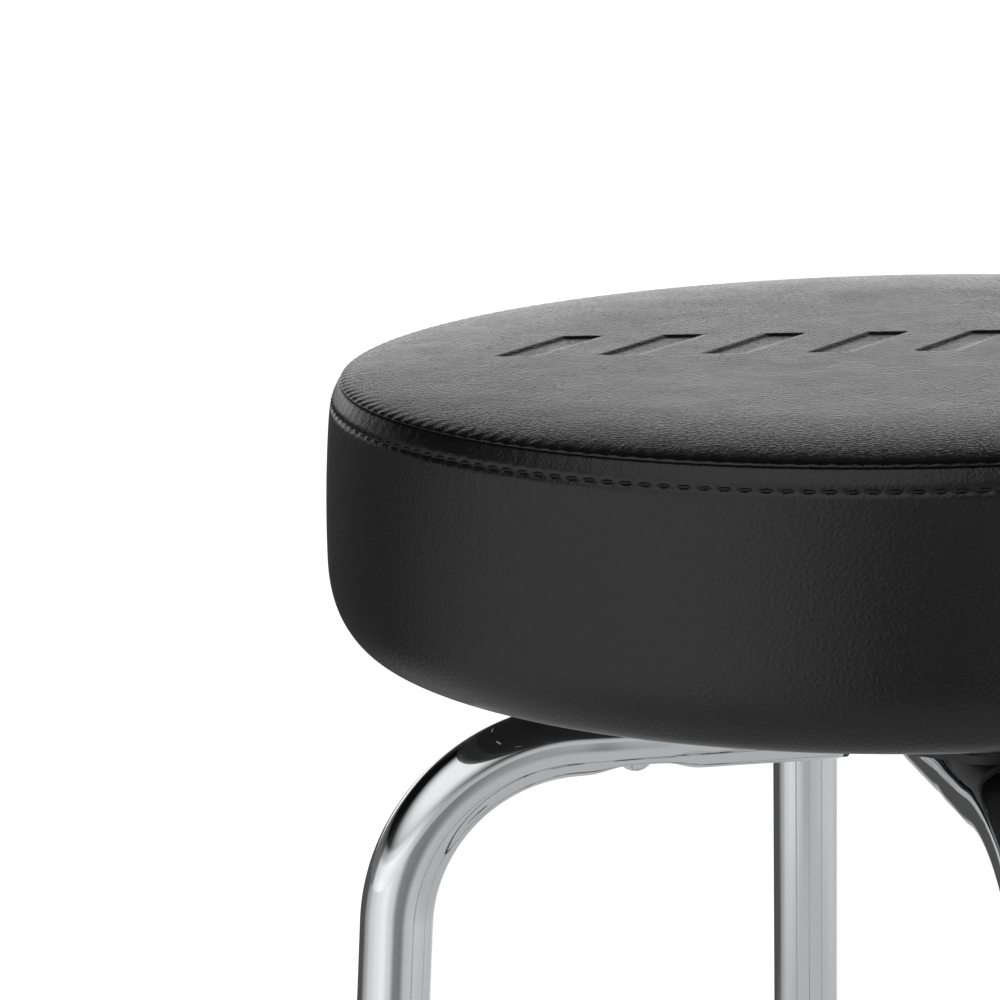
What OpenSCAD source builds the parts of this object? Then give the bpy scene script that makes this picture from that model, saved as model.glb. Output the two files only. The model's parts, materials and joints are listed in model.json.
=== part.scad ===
// Rolling stylist stool: a round leather seat that turns on a ball-bearing swivel
// plate, carried by four bent steel tube legs with a foot ring and twin-wheel casters.
// Millimetres. +Z is up, the origin is on the floor under the centre of the seat.
// Leg 1 points along the diagonal of +X and +Y, and the others follow anticlockwise.

/* [Seat] */
// Widest diameter of the padded seat
seat_d = 350; // [330:1:380]
// Height of the seat's top above the floor
seat_top = 640; // [600:1:700]
// Thickness of the padded seat
pad_h = 82; // [76:1:90]
// Height of the widest point above the seat's underside
widest_h = 26; // [22:0.5:34]
// How far the lower edge is rounded inwards
edge_in = 17.5; // [12:0.5:24]
// Radius of the seam between the top panel and the side band
seam_r = 169.3; // [160:0.1:172]
// How far the crown of the top panel stands above its seam
crown_h = 3.8; // [2:0.1:8]
// Width of the strip between the seam and the line of topstitching
strip_w = 6.1; // [4:0.1:8]
// Radius of the flat middle of the top panel
flat_r = 110; // [60:1:130]
// Thickness of the leather
leather_t = 1.6; // [1:0.1:2]

/* [Board] */
// Radius of the plywood seat board
board_r = 156; // [140:1:156]
// Thickness of the board
board_t = 12; // [9:1:15]
// Number of staples that hold the cover to the board
staple_count = 24; // [12:1:36]

/* [Swivel] */
// Side of the two square swivel plates
plate_side = 150; // [140:1:160]
// Sheet thickness of the plates
plate_t = 2.5; // [2:0.1:3]
// Distance from the seat's underside down to the legs
swivel_h = 20; // [18:0.5:24]
// Radius of a bearing ball
ball_r = 4; // [3:0.5:4]
// Radius of the circle of balls
race_r = 32; // [28:1:34]
// Number of balls
ball_count = 16; // [8:1:18]
// Radius of the kingpin
pin_r = 6; // [5:0.5:8]
// Half the spacing of the four seat screws
screw_half = 62; // [58:1:64]

/* [Legs] */
// Outer diameter of the leg tube
tube_d = 22.2; // [20:0.1:25.4]
// Wall of the leg tube
tube_wall = 1.5; // [1.2:0.1:2]
// Radius at which the straight top of a leg starts to bend
bend_start = 103.5; // [100:0.5:112]
// Centreline radius of both bends
bend_r = 56.25; // [50:6.25:62.5]
// Length of the straight stretch between the bends
shin = 375; // [350:12.5:387.5]
// Distance of the leg bolt from the centre
bolt_out = 86; // [78:1:88]

/* [Foot ring] */
// Height of the foot ring where it meets the legs
ring_z = 215; // [180:5:300]
// Outer diameter of the ring tube
ring_d = 19; // [16:0.5:22]

/* [Casters] */
// Radius of a wheel
wheel_r = 25; // [25:0.5:26]
// Width of one wheel
wheel_w = 16; // [14:0.5:16]
// Distance from the stem to the axle
trail = 19; // [17:0.5:19]
// Radius of the axle
axle_r = 3; // [2.5:0.5:4]
// Height of the foot of the leg tube
leg_end = 63.5; // [63.5:0.5:70]

/* [Hidden] */
$fn = 64;
eps = 1;              // how far a cutting tool runs past the face it cuts
leg_count = 4;
first_leg = 45;       // azimuth of leg 1

// Seat levels, measured from its underside
pad_z = seat_top - pad_h;
seat_r = seat_d / 2;
seam_z = pad_h - crown_h;
stitch_z = seam_z - strip_w;
side_draw = 2.6;      // how far the side band leans in from its widest point to the topstitching
stitch_r = seat_r - side_draw;
hem_r = 128;          // inner edge of the leather turned under the board
cloth_t = 0.6;        // dust cover cloth
cloth_r = 150;
cloth_flat_r = 117;   // the cloth is pressed up against the board inside this radius
thread_r = 0.45;

// Fasteners
m5_r = 2.5;
m5_hole_r = 2.7;
m6_r = 3;
m6_hole_r = 3.2;
tee_r = 9.5;          // flange of a T-nut
tee_flange_t = 1.2;
tee_barrel_r = 3.4;
nut_h = 5;
m6_nut_r = 5.77;      // across corners, halved
press_depth = 3.5;    // how deep the tube is pressed in under a bolt head
press_r = 6.3;
ring_bolt_sink = 0.7; // flats under the ring's bolt heads and cap nuts
cap_nut_sink = 0.6;

// Swivel levels, measured from the seat's underside
top_plate_z = 1.6 - cloth_t - plate_t;
low_plate_z = -swivel_h;
race_z = (top_plate_z + low_plate_z + plate_t) / 2;
race_gap = 0.45;      // half the gap between the two pressed plates
race_clear = 0.1;
race_out = ball_r + race_clear + plate_t;
dish_r = race_r + 10; // flat bottom of the pressed dish
dish_rim = dish_r + 8;
pin_clear = 0.06;
pin_head_r = 11;
pin_head_h = 3;
plate_corner = 12;

// Leg outline in the plane of one leg. The shin leans out by 237 in 3125, whose other
// side is 3116, so the stretches of tube meet at short decimals and join without a gap.
lean_out = 237 / 3125;
lean_up = 3116 / 3125;
splay = asin(lean_out);
tube_r = tube_d / 2;
bore_r = tube_r - tube_wall;
leg_z = pad_z - swivel_h - tube_r;
leg_in = 24;
knee = [bend_start + bend_r * lean_up, leg_z - bend_r + bend_r * lean_out];
ankle = [knee[0] + shin * lean_out, knee[1] - shin * lean_up];
foot_top = ankle[1] - bend_r * lean_out;
caster_x = ankle[0] + bend_r * (1 - lean_up);

// Foot ring, square to the leg where they meet
ring_r = ring_d / 2;
ring_wall = 1.5;
spacer_t = 3;
ring_up = (ring_z - ankle[1]) / lean_up;
ring_point = [ankle[0] - ring_up * lean_out, ring_z];
ring_reach = tube_r + spacer_t + ring_r;
ring_center_r = ring_point[0] - ring_reach * lean_up;
ring_center_z = ring_point[1] - ring_reach * lean_out;

// Caster levels above the floor
axle_z = wheel_r;
stem_r = 4;
stem_clear = 0.05;
collar_z = 58;
collar_r = 8.5;
flange_z = 60.5;
flange_r = 12;
socket_h = 35;
socket_bore = 5.6;
shank_r = 5;
shank_h = 28;
groove_z = 82;
groove_h = 2.5;
groove_r = 4.2;
web_half = 6.5;
wheel_in = 8;         // inner face of a wheel from the caster's middle plane
rim_r = 21.5;
hood_in = wheel_r + 1.5;
hood_out = hood_in + 2.5;
hood_half = 22;
axle_half = 21.8;

// ---- helpers ----

module at_leg(k) {
    rotate([0, 0, first_leg + 360 / leg_count * k]) children();
}

module at_every_leg() {
    for (k = [0 : leg_count - 1]) at_leg(k) children();
}

// In the plane of one leg, where the foot ring joins it: z runs up the shin, x square to it
module at_shin_joint() {
    translate([ring_point[0], 0, ring_point[1]]) rotate([0, -splay, 0]) children();
}

module at_ring_joint() {
    at_every_leg() at_shin_joint() children();
}

module at_caster(k) {
    at_leg(k) translate([caster_x, 0, 0]) children();
}

module at_axle(k) {
    at_caster(k) translate([trail, 0, axle_z]) rotate([-90, 0, 0]) children();
}

module at_side(side) {
    mirror([0, 0, side == "b" ? 1 : 0]) children();
}

module at_screws() {
    for (x = [-1, 1], y = [-1, 1]) translate([x * screw_half, y * screw_half, 0]) children();
}

module at_leg_bolts() {
    at_every_leg() translate([bolt_out, 0, 0]) children();
}

module ring_section(outer, inner) {
    difference() {
        circle(outer);
        circle(inner);
    }
}

module tube(outer, inner, h) {
    linear_extrude(h) ring_section(outer, inner);
}

// Button head with its flat face at z = 0, standing down
module button_head(r, h, socket_af) {
    dome_r = (r * r + h * h) / (2 * h);
    difference() {
        intersection() {
            translate([0, 0, -h]) cylinder(r = r, h = h);
            translate([0, 0, dome_r - h]) sphere(dome_r, $fn = 96);
        }
        translate([0, 0, -h - eps]) cylinder(r = socket_af / sqrt(3), h = h * 0.6 + eps, $fn = 6);
    }
}

// ---- seat outline, radius and height above the underside ----

function lower_edge(a) = [seat_r - edge_in * (1 - pow(sin(a), 0.88)), widest_h * (1 - pow(cos(a), 0.88))];
function side_curve(z) = [seat_r - side_draw * pow((z - widest_h) / (stitch_z - widest_h), 2), z];
function top_curve(a) = [flat_r + (seam_r - flat_r) * sin(a), seam_z + crown_h * cos(a)];
// The same points on the inner face of the leather
function inside_side(p) = [p[0] - leather_t, leather_t + p[1] * (seam_z - 2 * leather_t) / seam_z];
function inside_top(p) = [p[0] * (seam_r - leather_t) / seam_r, p[1] - leather_t];
function flipped(list) = [for (i = [len(list) - 1 : -1 : 0]) list[i]];

side_points = concat(
    [for (a = [0 : 10 : 80]) lower_edge(a)],
    [for (i = [0 : 6]) side_curve(widest_h + (stitch_z - widest_h) * i / 6)],
    [[seam_r, seam_z]]
);
top_points = [for (i = [10 : -1 : 0]) top_curve(9 * i)];
side_inside = [for (p = side_points) inside_side(p)];
top_inside = [for (p = top_points) inside_top(p)];

// ---- seat ----

module seat_cover_top() {
    color("#1b1b1d") translate([0, 0, pad_z])
    rotate_extrude()
    polygon(concat(top_points, [[0, pad_h], [0, pad_h - leather_t]], flipped(top_inside)));
}

module seat_cover_side() {
    color("#161618") translate([0, 0, pad_z])
    rotate_extrude()
    polygon(concat([[hem_r, 0]], side_points, flipped(side_inside), [[hem_r, leather_t]]));
}

module topstitch_thread() {
    color("#0d0d0e") translate([0, 0, pad_z + stitch_z])
    rotate_extrude()
    translate([stitch_r + thread_r + 0.05, 0]) circle(thread_r, $fn = 24);
}

module seat_foam() {
    color("#d9cfa8") translate([0, 0, pad_z])
    difference() {
        rotate_extrude()
        polygon(concat([[0, leather_t]], side_inside, [for (i = [1 : 10]) top_inside[i]],
            [[0, pad_h - leather_t]]));
        translate([0, 0, leather_t - eps]) cylinder(r = board_r, h = board_t + eps);
        translate([0, 0, leather_t]) at_screws() cylinder(r = tee_r, h = board_t + tee_flange_t + 1);
    }
}

module seat_board() {
    color("#c49a63") translate([0, 0, pad_z + leather_t])
    difference() {
        cylinder(r = board_r, h = board_t);
        at_screws() translate([0, 0, -eps]) cylinder(r = tee_barrel_r, h = board_t + 2 * eps);
    }
}

module dust_cover() {
    ramp = 10.5;
    color("#101010") translate([0, 0, pad_z])
    difference() {
        rotate_extrude()
        polygon([
            [0, leather_t - cloth_t], [cloth_flat_r, leather_t - cloth_t],
            [cloth_flat_r + ramp, -cloth_t], [cloth_r, -cloth_t], [cloth_r, 0],
            [cloth_flat_r + ramp, 0], [cloth_flat_r, leather_t], [0, leather_t]
        ]);
        translate([0, 0, -cloth_t]) at_screws() cylinder(r = m5_hole_r, h = 2 * leather_t);
    }
}

module staples() {
    crown_w = 10;
    wire = 0.7;
    leg_h = 6;
    ring = 140;
    color("#b9b9bb") translate([0, 0, pad_z - cloth_t])
    for (i = [0 : staple_count - 1]) rotate([0, 0, 360 / staple_count * (i + 0.5)]) translate([ring, 0, 0]) {
        translate([-wire / 2, -crown_w / 2, -wire]) cube([wire, crown_w, wire]);
        for (y = [-crown_w / 2, crown_w / 2 - wire])
            translate([-wire / 2, y, -wire]) cube([wire, wire, leg_h]);
    }
}

module t_nuts() {
    color("#b8b8ba") translate([0, 0, pad_z + leather_t]) at_screws()
    difference() {
        union() {
            translate([0, 0, board_t]) cylinder(r = tee_r, h = tee_flange_t);
            translate([0, 0, 3]) cylinder(r = tee_barrel_r, h = board_t - 3 + tee_flange_t);
        }
        translate([0, 0, -eps]) cylinder(r = m5_r, h = board_t + tee_flange_t + 2 * eps);
    }
}

module seat_screws() {
    color("#c4c4c6") translate([0, 0, pad_z + top_plate_z]) at_screws() {
        button_head(4.75, 3, 3);
        translate([0, 0, -0.2]) cylinder(r = m5_r, h = 16);
    }
}

// ---- swivel ----

module plate_flange(hole_r) {
    inner = plate_side / 2 - plate_corner;
    linear_extrude(plate_t)
    difference() {
        union() {
            square([plate_side, 2 * inner], center = true);
            square([2 * inner, plate_side], center = true);
            for (x = [-inner, inner], y = [-inner, inner]) translate([x, y]) circle(plate_corner);
        }
        circle(hole_r);
    }
}

// The pressed middle of the upper plate, with z = 0 between the plates
module pressed_dish(bore, rise) {
    rotate_extrude()
    difference() {
        union() {
            translate([bore, race_gap]) square([dish_r - bore, plate_t]);
            translate([race_r, 0]) intersection() {
                circle(race_out);
                translate([-race_out, race_gap]) square([2 * race_out, race_out]);
            }
            polygon([
                [dish_r - 1.5, race_gap], [dish_r + 0.5, race_gap], [dish_rim + 1.2, rise],
                [dish_rim + 3, rise], [dish_rim + 3, rise + plate_t], [dish_rim - 0.6, rise + plate_t],
                [dish_r - 1.5, race_gap + plate_t]
            ]);
        }
        translate([race_r, 0]) circle(ball_r + race_clear);
    }
}

module swivel_top_plate() {
    color("#8d9094")
    difference() {
        union() {
            translate([0, 0, pad_z + race_z]) pressed_dish(pin_r + pin_clear, top_plate_z - race_z);
            translate([0, 0, pad_z + top_plate_z]) plate_flange(dish_rim + 2);
        }
        translate([0, 0, pad_z + top_plate_z - eps]) at_screws() cylinder(r = m5_hole_r, h = plate_t + 2 * eps);
    }
}

module swivel_bottom_plate() {
    rise = race_z - low_plate_z - plate_t;
    color("#85888c")
    difference() {
        union() {
            translate([0, 0, pad_z + race_z]) mirror([0, 0, 1]) pressed_dish(pin_r, rise);
            translate([0, 0, pad_z + low_plate_z]) plate_flange(dish_rim + 2);
        }
        translate([0, 0, pad_z + low_plate_z - eps]) at_leg_bolts() cylinder(r = m6_hole_r, h = plate_t + 2 * eps);
    }
}

module swivel_kingpin() {
    sheet = race_gap + plate_t;
    color("#9fa1a4") translate([0, 0, pad_z + race_z]) {
        translate([0, 0, -sheet - eps]) cylinder(r = pin_r, h = 2 * sheet + 2 * eps);
        translate([0, 0, sheet + 0.1]) cylinder(r = pin_head_r, h = pin_head_h);
        translate([0, 0, -sheet - pin_head_h]) cylinder(r = pin_head_r - 1, h = pin_head_h);
    }
}

module ball_cage() {
    half_w = ball_r + 3.5;
    color("#a08a4a") translate([0, 0, pad_z + race_z - 0.3])
    difference() {
        tube(race_r + half_w, race_r - half_w, 0.6);
        for (i = [0 : ball_count - 1]) rotate([0, 0, 360 / ball_count * i])
            translate([race_r, 0, -eps]) cylinder(r = ball_r + 0.06, h = 3 * eps);
    }
}

module swivel_balls() {
    color("#d5d7da") translate([0, 0, pad_z + race_z])
    for (i = [0 : ball_count - 1]) rotate([0, 0, 360 / ball_count * i])
        translate([race_r, 0, 0]) sphere(ball_r);
}

// ---- legs ----

// A ring of round bar about the axis of a bend, with the bend in the plane of the leg
module bend_ring(r) {
    rotate([90, 0, 0]) rotate_extrude() translate([bend_r, 0]) circle(r);
}

// Everything above the plane through a bend's axis that lies square to the shin
module above_shin_plane() {
    reach = bend_r + tube_d;
    rotate([0, -splay, 0]) translate([-2 * reach, -reach, 0]) cube([4 * reach, 2 * reach, 2 * reach]);
}

// The five stretches of a leg as bars of radius r
module leg_bar(r) {
    reach = bend_r + tube_d;
    translate([leg_in, 0, leg_z]) rotate([0, 90, 0]) cylinder(r = r, h = bend_start - leg_in);
    translate([bend_start, 0, leg_z - bend_r]) intersection() {
        bend_ring(r);
        translate([0, -reach, 0]) cube(2 * reach);
        above_shin_plane();
    }
    translate([ankle[0], 0, ankle[1]]) rotate([0, -splay, 0]) cylinder(r = r, h = shin);
    translate([caster_x - bend_r, 0, foot_top]) difference() {
        intersection() {
            bend_ring(r);
            translate([0, -reach, 0]) cube(2 * reach);
        }
        above_shin_plane();
    }
    translate([caster_x, 0, leg_end]) cylinder(r = r, h = foot_top - leg_end);
}

module leg(k) {
    color("#d8dbe0") at_leg(k)
    difference() {
        leg_bar(tube_r);
        difference() {
            leg_bar(bore_r);
            translate([bolt_out, 0, leg_z - tube_r]) cylinder(r = press_r + tube_wall, h = press_depth + tube_wall);
        }
        translate([bolt_out, 0, leg_z - tube_d]) cylinder(r = m6_hole_r, h = 2 * tube_d);
        translate([bolt_out, 0, leg_z - tube_r - eps]) cylinder(r = press_r, h = press_depth + eps);
        at_shin_joint() rotate([0, 90, 0]) {
            translate([0, 0, -tube_d]) cylinder(r = m5_hole_r, h = 2 * tube_d);
            translate([0, 0, tube_r - ring_bolt_sink]) cylinder(r = 4.9, h = eps);
        }
    }
}

module leg_end_plugs() {
    color("#151515") at_every_leg() translate([leg_in, 0, leg_z]) rotate([0, 90, 0]) {
        translate([0, 0, -2]) cylinder(r = tube_r - 0.3, h = 2);
        tube(bore_r, bore_r - 1.5, 10);
    }
}

module leg_bolts() {
    head_z = leg_z - tube_r + press_depth;
    tip_z = pad_z + low_plate_z + plate_t + nut_h + 1.2;
    color("#c9cbce") at_leg_bolts() {
        translate([0, 0, head_z]) button_head(5.25, 3.3, 4);
        translate([0, 0, head_z - 0.2]) cylinder(r = m6_r, h = tip_z - head_z + 0.2);
    }
}

module leg_nuts() {
    color("#c2c4c7") translate([0, 0, pad_z + low_plate_z + plate_t]) at_leg_bolts()
    difference() {
        cylinder(r = m6_nut_r, h = nut_h, $fn = 6);
        translate([0, 0, -eps]) cylinder(r = m6_r, h = nut_h + 2 * eps);
    }
}

// ---- foot ring ----

module ring_torus(outer, inner) {
    translate([0, 0, ring_center_z]) rotate_extrude($fn = 256) translate([ring_center_r, 0])
        ring_section(outer, inner);
}

module foot_ring() {
    color("#d4d7dc")
    difference() {
        ring_torus(ring_r, ring_r - ring_wall);
        at_ring_joint() translate([-ring_reach - 2 * ring_r, 0, 0]) rotate([0, 90, 0]) {
            cylinder(r = m5_hole_r, h = 4 * ring_r);
            cylinder(r = 4.8, h = ring_r + cap_nut_sink);
        }
    }
}

module ring_spacers() {
    color("#1a1a1a")
    difference() {
        at_ring_joint() translate([-ring_reach, 0, 0]) rotate([0, 90, 0]) cylinder(r = 6.5, h = ring_reach);
        at_ring_joint() translate([0, 0, -tube_d]) cylinder(r = tube_r, h = 2 * tube_d);
        translate([0, 0, ring_center_z]) rotate_extrude($fn = 256) translate([ring_center_r, 0]) circle(ring_r);
        at_ring_joint() translate([-ring_reach, 0, 0]) rotate([0, 90, 0]) cylinder(r = m5_hole_r, h = ring_reach);
    }
}

module ring_bolts() {
    seat = tube_r - ring_bolt_sink;
    length = ring_reach + ring_r + seat + 4;
    color("#c9cbce") at_ring_joint() rotate([0, -90, 0]) {
        translate([0, 0, -seat]) button_head(4.75, 2.8, 3);
        translate([0, 0, -seat - 0.2]) cylinder(r = m5_r, h = length);
    }
}

module ring_cap_nuts() {
    dome = 4.2;
    depth = 4;
    color("#d0d2d6") at_ring_joint() translate([-ring_reach - ring_r + cap_nut_sink, 0, 0]) rotate([0, -90, 0])
    difference() {
        union() {
            cylinder(r = 4.62, h = depth, $fn = 6);
            intersection() {
                translate([0, 0, depth]) sphere(dome);
                cylinder(r = dome, h = depth + dome);
            }
        }
        translate([0, 0, -eps]) cylinder(r = m5_r, h = depth + 1.6 + eps);
    }
}

// ---- casters ----

module caster_socket(k) {
    color("#202022") at_caster(k)
    difference() {
        union() {
            translate([0, 0, flange_z]) cylinder(r = flange_r, h = leg_end - flange_z);
            translate([0, 0, leg_end]) cylinder(r = bore_r, h = socket_h);
        }
        translate([0, 0, flange_z - eps]) cylinder(r = socket_bore, h = socket_h + leg_end);
    }
}

module caster_stem(k) {
    color("#b4b6ba") at_caster(k)
    difference() {
        union() {
            translate([0, 0, 32]) cylinder(r = stem_r, h = collar_z - 32);
            translate([0, 0, collar_z]) cylinder(r = collar_r, h = flange_z - collar_z);
            translate([0, 0, flange_z]) cylinder(r = shank_r, h = shank_h);
        }
        translate([0, 0, groove_z]) tube(shank_r + eps, groove_r, groove_h);
    }
}

module grip_rings() {
    color("#8a8c90") for (k = [0 : leg_count - 1]) at_caster(k) translate([0, 0, groove_z + 0.25])
    difference() {
        tube(socket_bore, groove_r, groove_h - 0.5);
        translate([0, -1, -eps]) cube([2 * socket_bore, 2, groove_h + eps]);
    }
}

module caster_body(k) {
    color("#19191b") at_caster(k)
    difference() {
        union() {
            translate([trail, 0, axle_z]) rotate([90, 0, 0]) {
                // hood over both wheels
                translate([0, 0, -hood_half]) linear_extrude(2 * hood_half)
                intersection() {
                    ring_section(hood_out, hood_in);
                    polygon([[0, 0], [60, -12], [60, 60], [-60, 60], [-60, -4]]);
                }
                // web between the wheels
                translate([0, 0, -web_half]) linear_extrude(2 * web_half) {
                    circle(13);
                    intersection() {
                        circle(hood_in + 1);
                        polygon([[0, -4], [60, -12], [60, 60], [-60, 60], [-60, -4]]);
                    }
                }
            }
            translate([0, 0, 50]) cylinder(r = 10, h = collar_z - 0.1 - 50);
        }
        translate([0, 0, 31]) cylinder(r = stem_r + stem_clear, h = collar_z);
        translate([trail, 0, axle_z]) rotate([90, 0, 0]) translate([0, 0, -wheel_in])
            cylinder(r = axle_r, h = 2 * wheel_in);
    }
}

module axle(k) {
    color("#a9abaf") at_axle(k) translate([0, 0, -axle_half]) cylinder(r = axle_r, h = 2 * axle_half);
}

module wheel_core(k, side) {
    cap = 1.5;
    dish = 3;
    color("#2a2a2d") at_axle(k) at_side(side) translate([0, 0, wheel_in])
    difference() {
        cylinder(r = rim_r, h = wheel_w);
        translate([0, 0, -eps]) cylinder(r = axle_r + stem_clear, h = wheel_w - cap + eps);
        translate([0, 0, wheel_w - dish]) tube(rim_r - 3, 8.5, dish + eps);
    }
}

module wheel_tyre(k, side) {
    shoulder = 2.2;
    color("#333336") at_axle(k) at_side(side) translate([0, 0, wheel_in])
    rotate_extrude()
    polygon([
        [rim_r, 0], [wheel_r - shoulder, 0], [wheel_r - 0.6, 0.7], [wheel_r, shoulder],
        [wheel_r, wheel_w - shoulder], [wheel_r - 0.6, wheel_w - 0.7],
        [wheel_r - shoulder, wheel_w], [rim_r, wheel_w]
    ]);
}

seat_cover_top();
seat_cover_side();
topstitch_thread();
seat_foam();
seat_board();
dust_cover();
staples();
t_nuts();
seat_screws();
swivel_top_plate();
ball_cage();
swivel_balls();
swivel_bottom_plate();
swivel_kingpin();
leg(0);  // leg_1
leg(1);  // leg_2
leg(2);  // leg_3
leg(3);  // leg_4
leg_end_plugs();
leg_bolts();
leg_nuts();
foot_ring();
ring_spacers();
ring_bolts();
ring_cap_nuts();
caster_socket(0);  // caster_socket_1
caster_socket(1);  // caster_socket_2
caster_socket(2);  // caster_socket_3
caster_socket(3);  // caster_socket_4
caster_stem(0);  // caster_stem_1
caster_stem(1);  // caster_stem_2
caster_stem(2);  // caster_stem_3
caster_stem(3);  // caster_stem_4
grip_rings();
caster_body(0);  // caster_body_1
caster_body(1);  // caster_body_2
caster_body(2);  // caster_body_3
caster_body(3);  // caster_body_4
axle(0);  // axle_1
axle(1);  // axle_2
axle(2);  // axle_3
axle(3);  // axle_4
wheel_core(0, "a");  // wheel_core_1a
wheel_core(0, "b");  // wheel_core_1b
wheel_core(1, "a");  // wheel_core_2a
wheel_core(1, "b");  // wheel_core_2b
wheel_core(2, "a");  // wheel_core_3a
wheel_core(2, "b");  // wheel_core_3b
wheel_core(3, "a");  // wheel_core_4a
wheel_core(3, "b");  // wheel_core_4b
wheel_tyre(0, "a");  // wheel_tyre_1a
wheel_tyre(0, "b");  // wheel_tyre_1b
wheel_tyre(1, "a");  // wheel_tyre_2a
wheel_tyre(1, "b");  // wheel_tyre_2b
wheel_tyre(2, "a");  // wheel_tyre_3a
wheel_tyre(2, "b");  // wheel_tyre_3b
wheel_tyre(3, "a");  // wheel_tyre_4a
wheel_tyre(3, "b");  // wheel_tyre_4b
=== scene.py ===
"""Looks of the rolling stylist stool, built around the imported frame.

Everything is in metres in the frame's own axes: +Z up, the floor at z = 0, the seat's axis
on the Z axis, leg 1 on the diagonal between +X and +Y and the others anticlockwise.
"""
import json
import math

import bpy
import numpy as np
from mathutils import Matrix, Vector


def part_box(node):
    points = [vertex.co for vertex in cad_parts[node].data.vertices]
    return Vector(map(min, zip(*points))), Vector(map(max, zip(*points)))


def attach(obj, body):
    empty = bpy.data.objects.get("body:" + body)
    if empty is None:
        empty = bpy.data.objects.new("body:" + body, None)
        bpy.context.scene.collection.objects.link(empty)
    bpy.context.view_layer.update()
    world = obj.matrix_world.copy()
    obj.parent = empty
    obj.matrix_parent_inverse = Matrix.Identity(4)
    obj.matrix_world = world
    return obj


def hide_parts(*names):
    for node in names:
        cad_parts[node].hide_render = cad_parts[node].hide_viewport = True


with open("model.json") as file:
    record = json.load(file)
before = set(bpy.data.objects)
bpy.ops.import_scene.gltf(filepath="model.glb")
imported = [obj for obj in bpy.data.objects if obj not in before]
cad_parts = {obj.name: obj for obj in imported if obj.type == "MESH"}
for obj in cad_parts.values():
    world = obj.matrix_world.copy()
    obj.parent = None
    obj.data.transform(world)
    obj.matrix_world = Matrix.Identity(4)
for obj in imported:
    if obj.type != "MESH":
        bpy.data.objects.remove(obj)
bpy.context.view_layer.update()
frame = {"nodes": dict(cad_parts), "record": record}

MM = 0.001
TAU = 2 * math.pi
LEGS = (1, 2, 3, 4)
SIDES = ("a", "b")
FIRST_LEG = math.radians(45)


# ---------------------------------------------------------------- sizes from the frame

side_low, side_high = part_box("seat_cover_side")
top_low, top_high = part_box("seat_cover_top")
thread_low, thread_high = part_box("topstitch_thread")

SEAT_R = side_high.x
PAD_Z = side_low.z
SEAM_R = top_high.x
SEAM_Z = side_high.z
TOP_Z = top_high.z
STITCH_Z = (thread_low.z + thread_high.z) / 2
STITCH_R = thread_high.x - (thread_high.z - thread_low.z)
WIDEST_Z = PAD_Z + 26 * MM
EDGE_IN = 17.5 * MM
EDGE_FULL = 0.88          # below 1 the lower edge is fuller than a quarter ellipse
FLAT_R = 110 * MM
HEM_R = 128 * MM
LEATHER_T = 1.6 * MM
STITCH_COUNT = 192
FINE_BAND = 14 * MM       # below the stitches, where the side cover has its finest mesh

board_low, board_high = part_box("seat_board")
BOARD_R = board_high.x
BOARD_T = board_high.z - board_low.z
CLOTH_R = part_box("dust_cover")[1].x
STAPLES = 24
STAPLE_R = 140 * MM


# ---------------------------------------------------------------- small helpers

def leg_angle(k):
    return FIRST_LEG + (k - 1) * TAU / 4


def smooth(x, low, high):
    """0 below low, 1 above high, with a smooth turn between them."""
    t = np.clip((x - low) / (high - low), 0, 1)
    return t * t * (3 - 2 * t)


def bump_at(x, middle, width):
    return np.exp(-((x - middle) / width) ** 2)


def waves(angle, count, seed, height=1.0):
    """A sum of a few whole-number waves round a circle: the same at 0 and 360 degrees."""
    local = np.random.default_rng(seed)
    total = np.zeros_like(angle)
    for n in range(1, count + 1):
        amplitude = local.normal() / math.sqrt(n)
        total += amplitude * np.cos(n * angle + local.uniform(0, TAU))
    return height * total / math.sqrt(count)


def mesh_object(name, points, faces, smooth_shade=True):
    mesh = bpy.data.meshes.new(name)
    mesh.from_pydata([tuple(p) for p in points], [], faces)
    mesh.validate()
    mesh.update()
    if smooth_shade:
        mesh.polygons.foreach_set("use_smooth", [True] * len(mesh.polygons))
    obj = bpy.data.objects.new(name, mesh)
    bpy.context.scene.collection.objects.link(obj)
    return obj


def ring_faces(start_a, count_a, start_b, count_b):
    """Faces between two rings of points. Ring b has as many points as a, or half or twice."""
    faces = []
    if count_a == count_b:
        for i in range(count_a):
            j = (i + 1) % count_a
            faces.append((start_a + i, start_a + j, start_b + j, start_b + i))
    elif count_a == 2 * count_b:
        for i in range(count_b):
            j = (i + 1) % count_b
            a0, a1, a2 = start_a + 2 * i, start_a + 2 * i + 1, start_a + (2 * i + 2) % count_a
            faces += [(a0, a1, start_b + i), (a1, start_b + j, start_b + i), (a1, a2, start_b + j)]
    else:
        for i in range(count_a):
            j = (i + 1) % count_a
            b0, b1, b2 = start_b + 2 * i, start_b + 2 * i + 1, start_b + (2 * i + 2) % count_b
            faces += [(start_a + i, b1, b0), (start_a + i, start_a + j, b1), (start_a + j, b2, b1)]
    return faces


def turned_shell(name, rings, closed_middle=False):
    """A mesh from rings of points. Each ring is an array (n, 3); n may halve or double."""
    points = np.concatenate(rings)
    faces = []
    start = 0
    for a, b in zip(rings[:-1], rings[1:]):
        faces += ring_faces(start, len(a), start + len(a), len(b))
        start += len(a)
    if closed_middle:
        middle = len(points)
        points = np.concatenate([points, rings[-1].mean(axis=0, keepdims=True)])
        n = len(rings[-1])
        faces += [(start + i, start + (i + 1) % n, middle) for i in range(n)]
    return mesh_object(name, points, faces)


def circle_angles(n):
    return np.arange(n) * TAU / n


def add(obj, body, replaces=None, material=None):
    """Puts a finished piece on its body, hides the frame parts it replaces and gives it its material."""
    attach(obj, body)
    if replaces:
        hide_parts(*([replaces] if isinstance(replaces, str) else replaces))
    if material:
        obj.data.materials.clear()
        obj.data.materials.append(material)
    return obj


# ---------------------------------------------------------------- materials

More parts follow.
